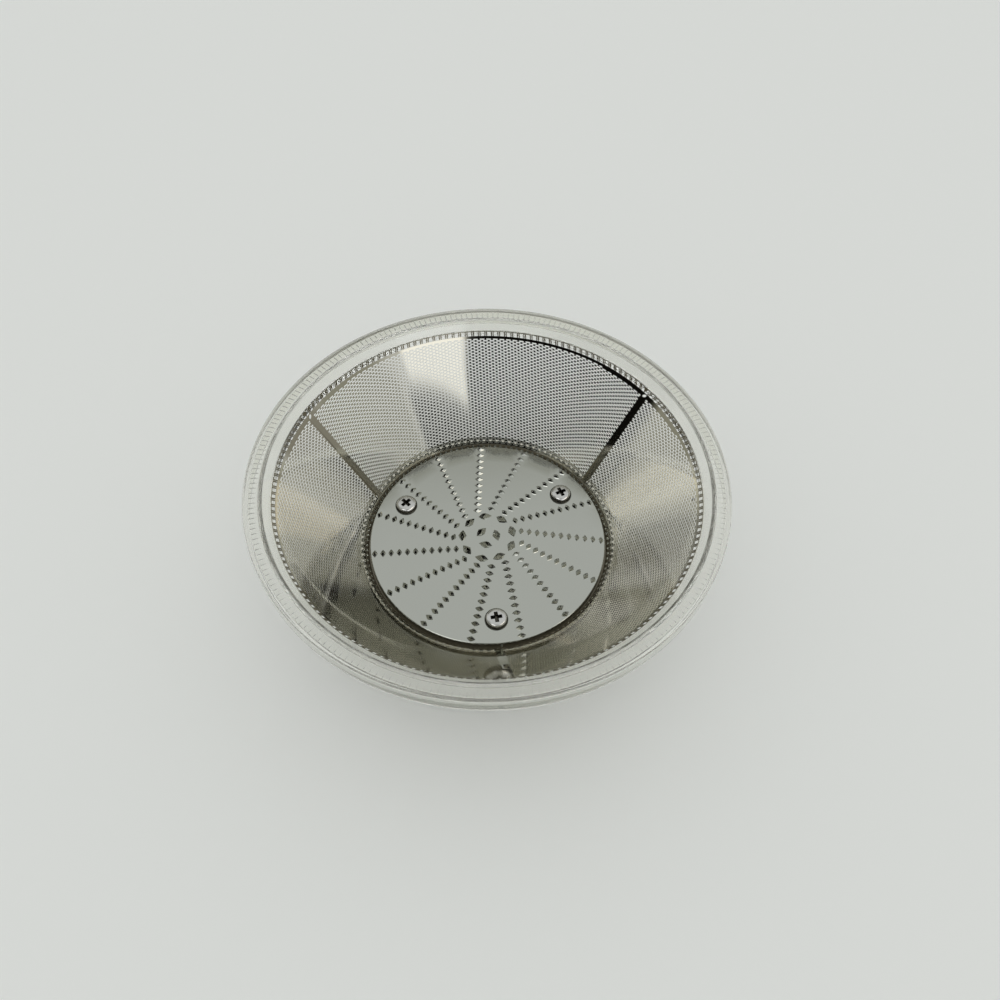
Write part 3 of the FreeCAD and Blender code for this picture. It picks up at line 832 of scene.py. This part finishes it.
def soft_panel(name, colour, glow, heading, rise, wide, tall, feather):
    """Panel beside the part whose edges fade out: a cloth, a wall or a window, by its colour and
    glow. The camera doesn't see it, the steel does."""
    material, tree, output = new_material(name)
    spot = add_node(tree, "ShaderNodeTexCoord")
    sides = add_node(tree, "ShaderNodeSeparateXYZ", [], [("Vector", spot.outputs["Generated"])])
    cover = None
    for side in ("X", "Y"):
        for start, end in ((0.0, feather), (1.0, 1.0 - feather)):
            ramp = add_node(
                tree, "ShaderNodeMapRange",
                [("From Min", start), ("From Max", end), ("interpolation_type", "SMOOTHSTEP")],
                [("Value", sides.outputs[side])])
            if cover is None:
                cover = ramp.outputs["Result"]
                continue
            both = add_node(tree, "ShaderNodeMath", [("operation", "MULTIPLY")], [("Value", cover)])
            tree.links.new(ramp.outputs["Result"], both.inputs[1])
            cover = both.outputs["Value"]
    surface = add_node(tree, "ShaderNodeEmission", [("Color", srgb(colour)), ("Strength", glow)])
    clear = add_node(tree, "ShaderNodeBsdfTransparent")
    blend = add_node(tree, "ShaderNodeMixShader", [], [("Fac", cover)])
    tree.links.new(clear.outputs["BSDF"], blend.inputs[1])
    tree.links.new(surface.outputs["Emission"], blend.inputs[2])
    tree.links.new(blend.outputs["Shader"], output.inputs["Surface"])
    bpy.ops.mesh.primitive_plane_add(size=1, location=towards(heading, rise, PANEL_DISTANCE))
    panel = bpy.context.object
    panel.name = name
    panel.rotation_euler = facing_part(panel.location)
    panel.scale = (wide, tall, 1)
    panel.visible_camera = False
    panel.visible_diffuse = False
    panel.visible_transmission = False
    panel.visible_shadow = False
    panel.data.materials.append(material)
    return panel


dark_cloth = soft_panel("dark_cloth_front", "#121210", 1.0, -138.4, 23, 3.2, 1.1, 0.03)
dark_cloth.visible_transmission = True
for row in (
        ("dark_cloth_above", "#121210", 1.0, -88, 67, 0.55, 0.42, 0.2),
        ("low_cloth_front", "#2A2A26", 1.0, -70, 14.8, 1.1, 0.57, 0.1),
        ("grey_cloth_right", "#A8A89E", 1.0, -25, 14, 1.1, 0.7, 0.15),
        ("grey_cloth_back", "#AEAEA4", 1.0, 86, 36, 2.0, 0.95, 0.3),
        ("low_cloth_back", "#30302C", 1.0, 104, 28, 1.0, 0.55, 0.2),
        ("dark_cloth_back", "#242422", 1.0, 90, 10, 2.2, 0.5, 0.15),
        ("grey_cloth_left", "#A4A49A", 1.0, 160, 12, 0.8, 0.6, 0.2),
        ("high_cloth_left", "#8A8A82", 1.0, -178, 58, 0.8, 0.6, 0.3),
        ("grey_wall_right", "#9E9C94", 1.0, 8, 9, 0.9, 0.5, 0.25),
        ("window", "#FFFFFF", 1.6, -66, 34.5, 0.72, 0.40, 0.1),
        ("high_window", "#FFF8EE", 2.2, -28, 45, 1.2, 0.42, 0.2),
        ("ceiling_light", "#FFFFFF", 2.6, -130, 56, 0.9, 0.4, 0.3)):
    soft_panel(*row)

world = bpy.data.worlds.new("studio")
world.use_nodes = True
world_tree = world.node_tree
world_tree.nodes.clear()
world_output = world_tree.nodes.new("ShaderNodeOutputWorld")
sky = add_node(world_tree, "ShaderNodeBackground", [("Color", srgb("#F6F8F7")), ("Strength", 0.82)])
world_tree.links.new(sky.outputs["Background"], world_output.inputs["Surface"])
bpy.context.scene.world = world

camera_data = bpy.data.cameras.new("camera")
camera_data.sensor_width = SENSOR_MM
camera_data.lens = CAMERA_FOCUS_PIXELS / IMAGE_PIXELS * SENSOR_MM
camera_data.clip_start = 0.01
camera = bpy.data.objects.new("camera", camera_data)
right = Vector(CAMERA_RIGHT).normalized()
up = Vector(CAMERA_UP)
up = (up - right * up.dot(right)).normalized()
back = right.cross(up)
view = Matrix((right, up, back)).transposed().to_4x4()
view.translation = Vector(CAMERA_PLACE) * MM
camera.matrix_world = view
bpy.context.collection.objects.link(camera)
bpy.context.scene.camera = camera
bpy.context.scene.view_settings.view_transform = "Standard"
